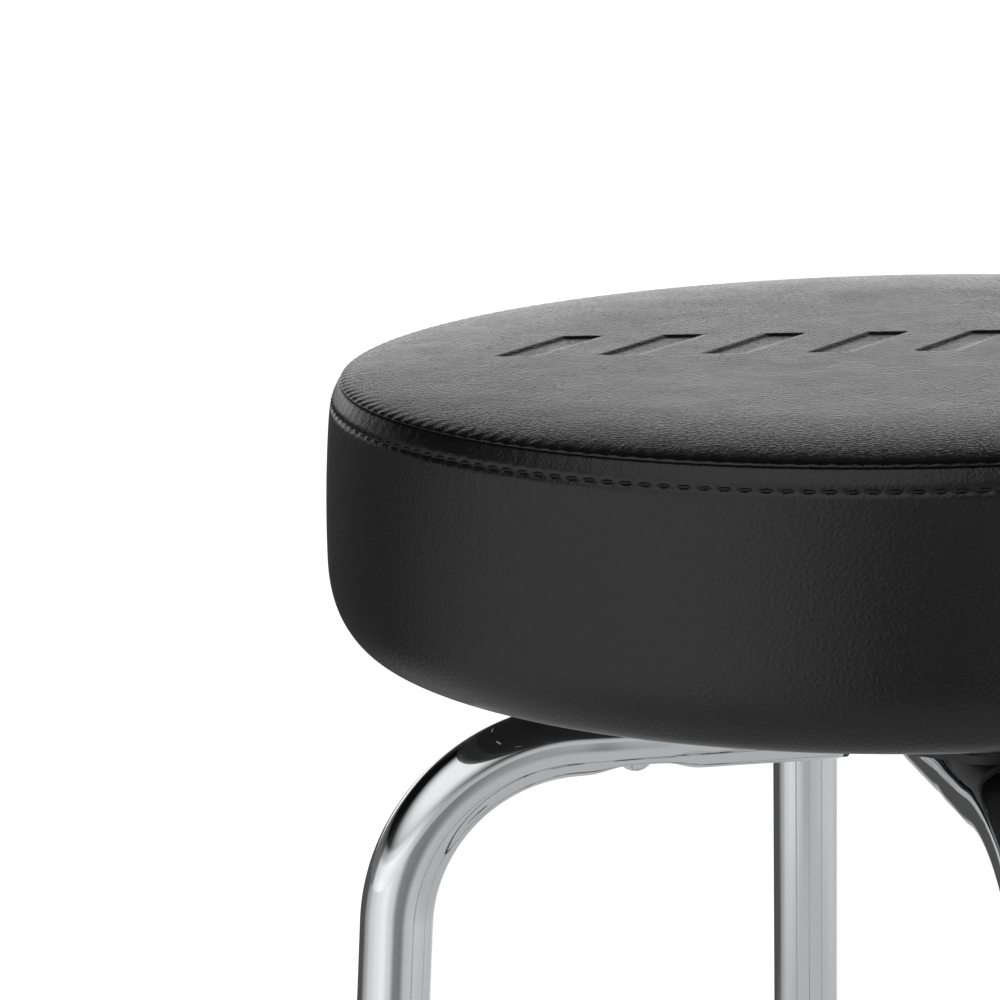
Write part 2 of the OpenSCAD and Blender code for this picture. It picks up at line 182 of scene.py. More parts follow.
class Graph:
    """Short ways to add the nodes that a material or the world needs."""

    def __init__(self, tree):
        self.tree = tree

    def node(self, kind, **settings):
        made = self.tree.nodes.new("ShaderNode" + kind)
        for key, value in settings.items():
            setattr(made, key, value)
        return made

    def link(self, out, into):
        self.tree.links.new(out, into)

    def coords(self, scale=(1, 1, 1)):
        place = self.node("TexCoord")
        mapping = self.node("Mapping")
        mapping.inputs["Scale"].default_value = scale
        self.link(place.outputs["Object"], mapping.inputs["Vector"])
        return mapping.outputs["Vector"]

    def noise(self, vector, scale, detail=3.0, roughness=0.5, distortion=0.0):
        made = self.node("TexNoise")
        made.inputs["Scale"].default_value = scale
        made.inputs["Detail"].default_value = detail
        made.inputs["Roughness"].default_value = roughness
        made.inputs["Distortion"].default_value = distortion
        self.link(vector, made.inputs["Vector"])
        return made.outputs["Fac"]

    def math(self, operation, *inputs, clamp=False):
        made = self.node("Math", operation=operation, use_clamp=clamp)
        for socket, value in zip(made.inputs, inputs):
            if isinstance(value, (int, float)):
                socket.default_value = value
            else:
                self.link(value, socket)
        return made.outputs[0]

    def spread(self, value, low, high, to_low=0.0, to_high=1.0, kind="SMOOTHSTEP"):
        made = self.node("MapRange", interpolation_type=kind)
        for key, number in zip(("From Min", "From Max", "To Min", "To Max"), (low, high, to_low, to_high)):
            made.inputs[key].default_value = number
        self.link(value, made.inputs["Value"])
        return made.outputs["Result"]

    def dot(self, vector, direction):
        made = self.node("VectorMath", operation="DOT_PRODUCT")
        self.link(vector, made.inputs[0])
        made.inputs[1].default_value = direction
        return made.outputs["Value"]

    def ramp(self, value, stops):
        """A grey level that eases from one (place, level) stop to the next."""
        made = self.node("ValToRGB")
        made.color_ramp.interpolation = "EASE"
        while len(made.color_ramp.elements) < len(stops):
            made.color_ramp.elements.new(0.5)
        for element, (where, level) in zip(made.color_ramp.elements, stops):
            element.position = where
            element.color = (level, level, level, 1)
        self.link(value, made.inputs["Fac"])
        return made.outputs["Color"]

    def turn(self, vector):
        """0.5 on the side the stool is seen from, more to the left of it, 0 and 1 behind."""
        left, ahead = self.dot(vector, toward(math.pi / 2, 0)), self.dot(vector, toward(0, 0))
        across = self.math("ARCTAN2", left, ahead)
        return self.math("ADD", self.math("DIVIDE", across, TAU), 0.5)

    def blend(self, factor, a, b):
        made = self.node("Mix", data_type="FLOAT")
        for socket, value in zip((made.inputs[0], made.inputs[2], made.inputs[3]), (factor, a, b)):
            if isinstance(value, (int, float)):
                socket.default_value = value
            else:
                self.link(value, socket)
        return made.outputs[0]

    def mix_color(self, factor, a, b):
        made = self.node("Mix", data_type="RGBA")
        self.link(factor, made.inputs["Factor"])
        made.inputs[6].default_value = (*a, 1)
        made.inputs[7].default_value = (*b, 1)
        return made.outputs[2]

    def bump(self, height, distance, strength=1.0, below=None):
        made = self.node("Bump")
        made.inputs["Distance"].default_value = distance
        made.inputs["Strength"].default_value = strength
        self.link(height, made.inputs["Height"])
        if below:
            self.link(below, made.inputs["Normal"])
        return made.outputs["Normal"]


class Nodes(Graph):
    """A material with a Principled shader."""

    def __init__(self, name, **values):
        self.material = bpy.data.materials.new(name)
        self.material.use_nodes = True
        super().__init__(self.material.node_tree)
        self.shader = self.tree.nodes["Principled BSDF"]
        for key, value in values.items():
            self.shader.inputs[key.replace("_", " ")].default_value = value

    def finish(self, color=None, roughness=None, normal=None):
        if color:
            self.link(color, self.shader.inputs["Base Color"])
        if roughness:
            self.link(roughness, self.shader.inputs["Roughness"])
        if normal:
            self.link(normal, self.shader.inputs["Normal"])
        return self.material


def leather_material(name, creases, gloss):
    """Black pebbled artificial leather. creases is how strongly fine radial wrinkles show."""
    m = Nodes(name, IOR=1.5)
    place = m.coords()
    # soft pebbles about two millimetres across, with smaller ones and a fine grain on them
    warp = m.node("VectorMath", operation="MULTIPLY_ADD")
    m.link(m.noise(place, 600, 2, 0.6), warp.inputs[0])
    warp.inputs[1].default_value = (0.0012, 0.0012, 0.0012)
    m.link(place, warp.inputs[2])

    def cells(scale, edge):
        made = m.node("TexVoronoi", feature="DISTANCE_TO_EDGE")
        made.inputs["Scale"].default_value = scale
        m.link(warp.outputs[0], made.inputs["Vector"])
        return m.spread(made.outputs["Distance"], 0.0, edge)

    pebbles = cells(520, 0.42)
    small = cells(1150, 0.4)
    fine = m.noise(place, 2600, 3, 0.6)
    broad = m.noise(place, 55, 3, 0.55)
    # wrinkles that run from the middle outwards: noise that is long in radius, short round it
    split = m.node("SeparateXYZ")
    m.link(place, split.inputs[0])
    x, y, z = split.outputs
    radius = m.math("SQRT", m.math("ADD", m.math("MULTIPLY", x, x), m.math("MULTIPLY", y, y)))
    safe = m.math("MAXIMUM", radius, 0.001)
    polar = m.node("CombineXYZ")
    m.link(m.math("DIVIDE", x, safe), polar.inputs[0])
    m.link(m.math("DIVIDE", y, safe), polar.inputs[1])
    m.link(m.math("MULTIPLY", m.math("SUBTRACT", radius, z), 0.9), polar.inputs[2])
    wrinkle = m.noise(polar.outputs[0], 190, 2.5, 0.55, 0.25)
    near_edge = m.spread(radius, 0.148, 0.167, 0.0, 1.0)
    wrinkle = m.math("MULTIPLY", m.math("MULTIPLY", wrinkle, near_edge), creases)
    normal = m.bump(pebbles, 0.00007, 0.7)
    grain = m.math("ADD", m.math("MULTIPLY", small, 0.6), m.math("MULTIPLY", fine, 0.5))
    normal = m.bump(grain, 0.00004, 0.7, normal)
    normal = m.bump(wrinkle, 0.0003, 0.5, normal)
    normal = m.bump(broad, 0.0003, 0.15, normal)
    color = m.mix_color(broad, (0.0022, 0.0022, 0.0024), (0.0036, 0.0036, 0.0038))
    haze = m.spread(broad, 0.3, 0.7, gloss, gloss + 0.04, "LINEAR")
    roughness = m.math("ADD", haze, m.math("MULTIPLY", pebbles, 0.03))
    return m.finish(color, roughness, normal)


def chrome_material():
    m = Nodes("chrome", Metallic=1.0)
    place = m.coords()
    ripple = m.noise(place, 38, 2, 0.5)
    haze = m.noise(place, 420, 4, 0.65)
    specks = m.noise(place, 2600, 2, 0.7)
    color = m.mix_color(haze, (0.80, 0.81, 0.825), (0.88, 0.885, 0.895))
    dust = m.spread(specks, 0.62, 0.8, 0.0, 0.06)
    roughness = m.math("ADD", m.spread(haze, 0.35, 0.75, 0.035, 0.075, "LINEAR"), dust)
    normal = m.bump(ripple, 0.0006, 0.12)
    return m.finish(color, roughness, normal)


def metal_material(name, dark, light, low, high, grain=900, metallic=1.0):
    m = Nodes(name, Metallic=metallic)
    place = m.coords()
    cloud = m.noise(place, 160, 4, 0.6)
    fine = m.noise(place, grain, 3, 0.6)
    color = m.mix_color(cloud, dark, light)
    roughness = m.spread(fine, 0.3, 0.7, low, high, "LINEAR")
    return m.finish(color, roughness, m.bump(fine, 0.00005, 0.5))


def plastic_material(name, dark, light, low, high, grain=1400, depth=0.00006):
    m = Nodes(name, IOR=1.48)
    place = m.coords()
    cloud = m.noise(place, 70, 3, 0.6)
    fine = m.noise(place, grain, 3, 0.6)
    color = m.mix_color(cloud, dark, light)
    roughness = m.spread(m.noise(place, 220, 3, 0.6), 0.3, 0.7, low, high, "LINEAR")
    return m.finish(color, roughness, m.bump(fine, depth, 0.6))


def thread_material():
    m = Nodes("thread", IOR=1.45)
    place = m.coords()
    twist = m.noise(place, 4200, 2, 0.5)
    color = m.mix_color(twist, (0.002, 0.002, 0.002), (0.007, 0.007, 0.0075))
    return m.finish(color, m.spread(twist, 0.2, 0.8, 0.45, 0.6, "LINEAR"), m.bump(twist, 0.0001, 0.8))


def cloth_material():
    """Non-woven dust cloth: pressed fibres with a grid of small bonded dots."""
    m = Nodes("dust_cloth", IOR=1.4)
    place = m.coords()
    fibres = m.noise(place, 1500, 5, 0.75, 1.2)
    dots = m.node("TexVoronoi", feature="F1")
    dots.inputs["Scale"].default_value = 520
    dots.inputs["Randomness"].default_value = 0.15
    m.link(place, dots.inputs["Vector"])
    pressed = m.spread(dots.outputs["Distance"], 0.18, 0.34)
    color = m.mix_color(fibres, (0.007, 0.007, 0.0075), (0.022, 0.022, 0.024))
    normal = m.bump(fibres, 0.0001, 0.7)
    normal = m.bump(pressed, 0.0001, 0.7, normal)
    return m.finish(color, m.spread(fibres, 0.2, 0.8, 0.75, 0.95, "LINEAR"), normal)


def wood_material():
    m = Nodes("plywood", IOR=1.5)
    place = m.coords((1, 1, 14))
    grain = m.noise(place, 60, 5, 0.6, 1.5)
    color = m.mix_color(grain, (0.42, 0.26, 0.12), (0.66, 0.47, 0.27))
    return m.finish(color, m.spread(grain, 0.2, 0.8, 0.55, 0.75, "LINEAR"), m.bump(grain, 0.0002, 0.4))


def foam_material():
    m = Nodes("foam", IOR=1.4)
    place = m.coords()
    cells = m.node("TexVoronoi", feature="F1")
    cells.inputs["Scale"].default_value = 700
    m.link(place, cells.inputs["Vector"])
    pores = m.spread(cells.outputs["Distance"], 0.1, 0.6)
    color = m.mix_color(pores, (0.72, 0.64, 0.40), (0.50, 0.43, 0.24))
    return m.finish(color, m.spread(pores, 0, 1, 0.85, 0.95, "LINEAR"), m.bump(pores, 0.0004, 0.6))


materials = {
    "leather": leather_material("leather_top", 1.0, 0.19),
    "leather_side": leather_material("leather_side", 0.0, 0.27),
    "chrome": chrome_material(),
    "zinc_steel": metal_material("zinc_steel", (0.50, 0.51, 0.53), (0.66, 0.66, 0.67), 0.28, 0.42),
    "bearing_steel": metal_material("bearing_steel", (0.60, 0.61, 0.63), (0.74, 0.74, 0.75), 0.12, 0.22),
    "plate_paint": metal_material("plate_paint", (0.010, 0.010, 0.011), (0.018, 0.018, 0.019), 0.38, 0.5, 1900, 0.0),
    "brass": metal_material("brass", (0.52, 0.37, 0.13), (0.66, 0.50, 0.20), 0.25, 0.4),
    "black_plastic": plastic_material("black_plastic", (0.010, 0.010, 0.011), (0.018, 0.018, 0.019), 0.38, 0.52),
    "caster_plastic": plastic_material("caster_plastic", (0.009, 0.009, 0.010), (0.016, 0.016, 0.017), 0.28, 0.4),
    "tyre": plastic_material("tyre", (0.016, 0.016, 0.017), (0.034, 0.033, 0.032), 0.5, 0.72, 1100, 0.00012),
    "thread": thread_material(),
    "dust_cloth": cloth_material(),
    "plywood": wood_material(),
    "foam": foam_material(),
}

slot_of = {s["node"]: s["material_slot"] for s in frame["record"]["subparts"]}
for name, obj in frame["nodes"].items():
    obj.data.materials.clear()
    obj.data.materials.append(materials[slot_of[name]])


# ---------------------------------------------------------------- seat

def side_outline():
    """The side cover from the seam down and round to the hem, as (radius, height) points."""
    strip = [
        (SEAM_R + (STITCH_R - SEAM_R) * t, SEAM_Z + (STITCH_Z - SEAM_Z) * t)
        for t in np.linspace(0, 1, 15)
    ]
    upper = STITCH_Z - FINE_BAND
    wall = [
        (SEAT_R - (SEAT_R - STITCH_R) * ((z - WIDEST_Z) / (STITCH_Z - WIDEST_Z)) ** 2, z)
        for z in np.concatenate([np.linspace(STITCH_Z, upper, 22)[1:], np.linspace(upper, WIDEST_Z, 16)[1:]])
    ]
    edge = [
        (SEAT_R - EDGE_IN * (1 - max(math.sin(a), 0) ** EDGE_FULL),
         PAD_Z + (WIDEST_Z - PAD_Z) * (1 - max(math.cos(a), 0) ** EDGE_FULL))
        for a in np.linspace(math.pi / 2, 0, 26)[1:]
    ]
    hem = [(r, PAD_Z) for r in np.linspace(edge[-1][0], HEM_R, 10)[1:]]
    return np.array(strip + wall + edge + hem)


def outward_normals(outline):
    step = np.gradient(outline, axis=0)
    step /= np.linalg.norm(step, axis=1, keepdims=True)
    return np.stack([-step[:, 1], step[:, 0]], axis=1)


def stitch_phase(angle):
    return angle * STITCH_COUNT


def dash(angle):
    """1 along the middle of each stitch and 0 where the thread goes down between two."""
    return smooth(np.cos(stitch_phase(angle)), -0.75, -0.2)


def side_relief(angle, z):
    """How far the side cover stands out from its plain outline."""
    low = waves(angle, 9, 3, 0.14 * MM) * smooth(z, PAD_Z, PAD_Z + 12 * MM)
    low = low - 0.3 * MM * smooth(z, PAD_Z, PAD_Z + 8 * MM)
    strip_mid = (SEAM_Z + STITCH_Z) / 2
    strip_half = (SEAM_Z - STITCH_Z) / 2
    pillow = np.clip(1 - ((z - strip_mid) / strip_half) ** 2, 0, 1)
    pulls = 0.5 + 0.5 * np.cos(stitch_phase(angle) + 0.5 * waves(angle, 40, 5))
    relief = low + 0.38 * MM * np.sqrt(pillow) * (0.88 + 0.12 * pulls)
    groove = bump_at(z, STITCH_Z, 0.8 * MM)
    relief -= groove * MM * (0.34 + 0.45 * dash(angle))
    below = np.clip(STITCH_Z - z, 0, None)
    relief += np.where(z < STITCH_Z, 0.30 * MM * (1 - np.exp(-below / (2.4 * MM))), 0)
    relief += np.where(z < STITCH_Z, 0.08 * MM * pulls * np.exp(-below / (4 * MM)) * (1 - groove), 0)
    return relief


def seat_side():
    outline = side_outline()
    normals = outward_normals(outline)
    rings = []
    for (r, z), (nr, nz) in zip(outline, normals):
        n = STITCH_COUNT * (6 if z > STITCH_Z - FINE_BAND else 3)
        angle = circle_angles(n)
        relief = side_relief(angle, z)
        if z == PAD_Z:
            relief = relief * 0
        radius = r + nr * relief
        height = np.full(n, z) + nz * relief
        rings.append(np.stack([radius * np.cos(angle), radius * np.sin(angle), height], axis=1))
    # the strip's upper edge turns in under the top panel, into the seam
    angle = circle_angles(len(rings[0]))
    tuck = []
    puckers = 0.16 * MM * np.cos(stitch_phase(angle) + 0.5 * waves(angle, 40, 5))
    for inward, down in ((2.2, 1.9), (1.5, 1.3), (0.9, 0.8), (0.35, 0.55), (0.0, 0.5)):
        radius = SEAM_R - inward * MM + puckers * (1 - inward / 2.2)
        tuck.append(np.stack([radius * np.cos(angle), radius * np.sin(angle),
                              np.full(len(angle), SEAM_Z - down * MM)], axis=1))
    # the first rings of the strip lie above that edge, so they are left out
    kept = [r for r in rings if r[0, 2] < SEAM_Z - 0.6 * MM]
    obj = turned_shell("seat_side_leather", tuck + kept)
    return add(obj, "seat", "seat_cover_side", materials["leather_side"])


VIEW_TURN = math.radians(31.33)    # the stool is seen from this far round from -Y
MOTIF_TURN = VIEW_TURN - math.radians(1.5)
MOTIF_COUNT = 8
MOTIF_PITCH = 31 * MM
MOTIF_LENGTH = 36 * MM
MOTIF_WIDTH = 11 * MM
MOTIF_SLANT = math.radians(24)
MOTIF_BACK = 9 * MM
MOTIF_DEPTH = 0.6 * MM


def motif(x, y):
    """1 inside a row of plain slanted bars pressed into the top, 0 outside, soft between."""
    along = x * math.cos(MOTIF_TURN) + y * math.sin(MOTIF_TURN)
    back = -x * math.sin(MOTIF_TURN) + y * math.cos(MOTIF_TURN) - MOTIF_BACK
    pressed = np.zeros_like(x)
    for i in range(MOTIF_COUNT):
        middle = (i - (MOTIF_COUNT - 1) / 2) * MOTIF_PITCH
        u = along - middle - back * math.tan(MOTIF_SLANT)
        across = np.abs(u) - MOTIF_WIDTH / 2
        ahead = np.abs(back) - MOTIF_LENGTH / 2
        outside = np.maximum(across, ahead)
        pressed = np.maximum(pressed, 1 - smooth(outside, -1.8 * MM, 1.2 * MM))
    return pressed


def seat_top():
    """The domed top panel: from the seam up a rounded edge and over a low crown."""
    crown = TOP_Z - SEAM_Z
    span = SEAM_R - FLAT_R
    turns = np.concatenate([[88.5], np.arange(86.5, 69, -2.5), np.arange(69, 47, -3)])
    edge = FLAT_R + span * np.sin(np.radians(turns))
    inner = np.arange(edge[-1] / MM - 1.2, 3.5, -1.0) * MM
    rings = []
    # below its edge the panel goes on down into the seam
    angle = circle_angles(STITCH_COUNT * 6)
    for inward, down in ((1.5, 1.5), (0.8, 0.9), (0.25, 0.5), (0.0, 0.2)):
        radius = SEAM_R - inward * MM
        rings.append(np.stack([radius * np.cos(angle), radius * np.sin(angle),
                               np.full(len(angle), SEAM_Z - down * MM)], axis=1))
    for r in np.concatenate([edge, inner]):
        n = STITCH_COUNT * 6
        for below in (75, 30, 12):
            if r < below * MM:
                n //= 2
        angle = circle_angles(n)
        sine = max(r - FLAT_R, 0) / span
        z = SEAM_Z + crown * math.sqrt(1 - sine ** 2)
        inward = SEAM_R - r
        pulls = np.cos(stitch_phase(angle) + 0.7 * waves(angle, 40, 11))
        relief = 0.18 * MM * pulls * math.exp(-inward / (2.0 * MM))
        relief = relief + waves(angle, 7, 21, 0.14 * MM) * smooth(r, 20 * MM, 110 * MM) * (1 - sine ** 6)
        x, y = r * np.cos(angle), r * np.sin(angle)
        height = z + relief - MOTIF_DEPTH * motif(x, y)
        rings.append(np.stack([x, y, height], axis=1))
    obj = turned_shell("seat_top_leather", rings, closed_middle=True)
    return add(obj, "seat", "seat_cover_top", materials["leather"])


def tube_between(points, radii, sides):
    """Rings of points round a path, for a small rod such as a stitch."""
    rings = []
    points = np.asarray(points)
    steps = np.gradient(points, axis=0)
    for p, d, r in zip(points, steps, radii):
        d = d / np.linalg.norm(d)
        across = np.cross(d, (0, 0, 1))
        across /= np.linalg.norm(across)
        up = np.cross(across, d)
        a = circle_angles(sides)
        rings.append(p + r * (np.outer(np.cos(a), across) + np.outer(np.sin(a), up)))
    return rings


def topstitches():
    """Each stitch is a short thread that dives into the leather at both ends."""
    points, faces = [], []
    half = 0.375 * TAU / STITCH_COUNT
    sides = 8
    local = np.random.default_rng(17)
    for i in range(STITCH_COUNT):
        middle = TAU * i / STITCH_COUNT + local.normal() * 0.02 * TAU / STITCH_COUNT
        t = np.linspace(-1, 1, 9)
        angle = middle + t * half
        sink = 0.55 * MM * np.abs(t) ** 4
        radius = STITCH_R - 0.45 * MM - sink
        height = STITCH_Z + 0.12 * MM * t + local.normal() * 0.05 * MM
        path = np.stack([radius * np.cos(angle), radius * np.sin(angle), height], axis=1)
        rings = tube_between(path, 0.34 * MM * (1 - 0.25 * np.abs(t) ** 3), sides)
        start = len(points)
        for ring in rings:
            points += [tuple(p) for p in ring]
        for j in range(len(rings) - 1):
            faces += ring_faces(start + j * sides, sides, start + (j + 1) * sides, sides)
        faces.append(tuple(start + s for s in range(sides)))
        faces.append(tuple(start + (len(rings) - 1) * sides + s for s in reversed(range(sides))))
    obj = mesh_object("topstitches", points, faces)
    return add(obj, "seat", "topstitch_thread", materials["thread"])


def foam_block():
    """The moulded foam inside the cover, a little under the leather all round."""
    outline = side_outline()
    inside = [
        (r - LEATHER_T, max(z, PAD_Z + LEATHER_T)) for r, z in outline if z < SEAM_Z - 2 * MM
    ][::-1]
    low = inside[0][1]
    crown = TOP_Z - SEAM_Z
    over = [
        (FLAT_R + (SEAM_R - LEATHER_T - FLAT_R) * math.sin(a), SEAM_Z - LEATHER_T + crown * math.cos(a))
        for a in np.linspace(math.pi / 2, 0, 12)[1:]
    ]
    middle = [(r, TOP_Z - LEATHER_T) for r in np.linspace(FLAT_R, 2 * MM, 16)[1:]]
    rings = []
    angle = circle_angles(STITCH_COUNT)
    for r, z in [(BOARD_R + 1 * MM, low + BOARD_T), (BOARD_R + 1 * MM, low)] + inside + over + middle:
        radius = r - 0.25 * MM + waves(angle, 12, int(z / MM), 0.08 * MM)
        rings.append(np.stack([radius * np.cos(angle), radius * np.sin(angle), np.full(len(angle), z)], axis=1))
    obj = turned_shell("seat_foam_block", rings, closed_middle=True)
    return add(obj, "seat", "seat_foam", materials["foam"])


def dust_cloth():
    """The cloth under the seat: pressed up round the plate, pulled to a staple at 24 points."""
    pressed = 117 * MM
    ramp = 10.5 * MM
    edge = CLOTH_R
    rings = []
    outer, inner = np.linspace(edge, pressed - 6 * MM, 34), np.linspace(pressed - 10 * MM, 4 * MM, 24)
    for r in np.concatenate([outer, inner]):
        angle = circle_angles(STAPLES * (16 if r > 60 * MM else 8))
        up = LEATHER_T - 0.3 * MM
        rim = -0.35 * MM
        z = PAD_Z + up + (rim - up) * smooth(r, pressed, pressed + ramp)
        between = 0.5 - 0.5 * np.cos(STAPLES * (angle - TAU / STAPLES / 2))
        sag = 0.9 * MM * between * smooth(r, STAPLE_R - 8 * MM, edge)
        gathers = np.sin(STAPLES * angle + waves(angle, 20, 31)) ** 2
        sag = sag + 0.25 * MM * bump_at(r, STAPLE_R - 5 * MM, 5 * MM) * gathers
        ragged = 1 + (0.004 * waves(angle, 60, 33) if r == edge else 0)
        rings.append(np.stack([r * ragged * np.cos(angle), r * ragged * np.sin(angle), z - sag], axis=1))
    obj = turned_shell("dust_cloth_sheet", rings, closed_middle=True)
    add(obj, "seat", "dust_cover", materials["dust_cloth"])
    return obj


for cushion in (seat_side(), seat_top(), foam_block()):
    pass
topstitches()
dust_cloth()


# ---------------------------------------------------------------- legs

TUBE_R = 11.1 * MM
TUBE_WALL = 1.5 * MM
LEG_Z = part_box("swivel_bottom_plate")[0].z - TUBE_R
LEG_IN = 24 * MM
BEND_START = 103.5 * MM
BEND_R = 56.25 * MM
LEAN = math.asin(237 / 3125)
SHIN = 375 * MM
BOLT_OUT = 86 * MM
PRESS = 3.5 * MM
LEG_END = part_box("caster_socket_1")[0].z + 3 * MM


def leg_path():
    """Centre points of a leg in its own plane, (distance out, height), and their headings."""
    points = [(x, LEG_Z, 0.0) for x in np.linspace(LEG_IN, BEND_START, 54)[:-1]]
    for a in np.linspace(0, math.pi / 2 - LEAN, 40):
        points.append((BEND_START + BEND_R * math.sin(a), LEG_Z - BEND_R + BEND_R * math.cos(a), a))
    knee = points[-1]
    down = (math.sin(LEAN), -math.cos(LEAN))
    for t in np.linspace(0, SHIN, 30)[1:]:
        points.append((knee[0] + down[0] * t, knee[1] + down[1] * t, math.pi / 2 - LEAN))
    ankle = points[-1]
    center = (ankle[0] - BEND_R * math.cos(LEAN), ankle[1] - BEND_R * math.sin(LEAN))
    for a in np.linspace(LEAN, 0, 6)[1:]:
        points.append((center[0] + BEND_R * math.cos(a), center[1] + BEND_R * math.sin(a), math.pi / 2 - a))
    foot = points[-1]
    for z in np.linspace(foot[1], LEG_END, 6)[1:]:
        points.append((foot[0], z, math.pi / 2))
    return points


def leg_section(x, heading, angle, radius):
    """One cross-section: a circle, with its underside pressed flat where a bolt clamps it."""
    side = radius * np.cos(angle)
    up = radius * np.sin(angle)
    if heading == 0.0:
        weight = math.exp(-((x - BOLT_OUT + 2 * MM) / (14 * MM)) ** 4)
        floor = PRESS * weight - TUBE_R
        soft = 1.0 * MM
        lowered = floor + soft * np.log1p(np.exp((up - floor) / soft))
        up = up * (1 - weight) + lowered * weight
        side = side * (1 + 0.035 * weight)
    return side, up


def leg_piece(k):
    turn = leg_angle(k)
    n = 56
    angle = circle_angles(n)
    out = np.array([math.cos(turn), math.sin(turn), 0])
    across = np.array([-math.sin(turn), math.cos(turn), 0])
    rise = np.array([0, 0, 1.0])
    rings = []
    for x, z, heading in leg_path():
        up_way = out * math.sin(heading) + rise * math.cos(heading)
        side, up = leg_section(x, heading, angle, TUBE_R)
        center = out * x + rise * z
        rings.append(center + np.outer(side, across) + np.outer(up, up_way))
    # thickness at the open top end, then a short way down the bore
    first_x, first_z, _ = leg_path()[0]
    bore = TUBE_R - TUBE_WALL
    inner = [
        out * (first_x + d) + rise * first_z
        + np.outer(bore * np.cos(angle), across) + np.outer(bore * np.sin(angle), rise)
        for d in (8 * MM, 0)
    ]
    obj = turned_shell(f"leg_tube_{k}", inner + rings)
    return add(obj, "base", f"leg_{k}", materials["chrome"])


for k in LEGS:
    leg_piece(k)


# ---------------------------------------------------------------- wheels

def round_corner(center, radius, start, end, steps=6):
    """Points of an arc, with angles in degrees, as (distance from the axle, distance along it)."""
    return [
        (center[0] + radius * math.cos(a), center[1] + radius * math.sin(a))
        for a in np.radians(np.linspace(start, end, steps))
    ]


def wheel_shell(name, outline, k, side, spokes=0.0):
    """Turns an outline of (distance from the axle, distance along it), in mm, round an axle."""
    turn = leg_angle(k)
    low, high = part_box(f"wheel_tyre_{k}{side}")
    middle = (low + high) / 2
    out = np.array([math.cos(turn), math.sin(turn), 0])
    along = np.array([-math.sin(turn), math.cos(turn), 0]) * (1 if side == "a" else -1)
    angle = circle_angles(96)
    rings = []
    for r, y in outline:
        lift = np.zeros_like(angle)
        if y > 4.5 and 9 < r < 19.2:
            lift = spokes * smooth(np.cos(5 * angle), 0.1, 0.5) * bump_at(r, 15.2, 4.2)
        ring = (np.outer(np.cos(angle), out) + np.outer(np.sin(angle), (0, 0, 1))) * r * MM
        rings.append(np.array(middle) + ring + np.outer((y + lift) * MM, along))
    if side == "b":
        rings = rings[::-1]
    return turned_shell(name, rings)


def wheel(k, side):
    """A soft tyre with a mould line round it, and a hub with five shallow spokes."""
    half = 8.0
    tyre = [(21.4, -half), (22.2, -half)] + round_corner((22.6, -5.8), 2.2, -90, -12)
    tyre += [(24.92, -2.5), (24.97, -0.5), (25.0, -0.2), (25.0, 0.2), (24.97, 0.5), (24.92, 2.5)]
    tyre += round_corner((22.6, 5.8), 2.2, 12, 90) + [(22.2, half), (21.4, half)]
    add(wheel_shell(f"tyre_{k}{side}", tyre, k, side), f"wheel_{k}{side}",
        f"wheel_tyre_{k}{side}", materials["tyre"])
    hub = [(3.4, -half), (20.6, -half)] + round_corner((20.9, -7.4), 0.6, -90, 0, 4)
    hub += round_corner((20.9, 7.4), 0.6, 0, 90, 4) + [(19.6, half)] + round_corner((19.3, 7.5), 0.5, 90, 180, 4)
    hub += [(18.7, 6.2)] + round_corner((18.2, 5.5), 0.5, 0, -90, 4)
    hub += [(r, 5.0) for r in np.linspace(17.6, 9.6, 12)] + round_corner((9.2, 5.5), 0.5, 270, 180, 4)
    hub += [(8.6, 7.0)] + round_corner((7.9, 7.3), 0.7, 0, 90, 5)
    hub += [(5.0, half), (4.4, 7.7), (3.0, 7.55), (1.0, 7.5), (0.05, 7.5)]
    add(wheel_shell(f"hub_{k}{side}", hub, k, side, spokes=1.1), f"wheel_{k}{side}",
        f"wheel_core_{k}{side}", materials["caster_plastic"])


for k in LEGS:
    for side in SIDES:
        wheel(k, side)


# ---------------------------------------------------------------- floor, light and camera

def toward(turn, height):
    """A direction: turn is to the left round from the side it is seen from, height is upwards."""
    a = -math.pi / 2 + VIEW_TURN - turn
    return Vector((math.cos(a) * math.cos(height), math.sin(a) * math.cos(height), math.sin(height)))


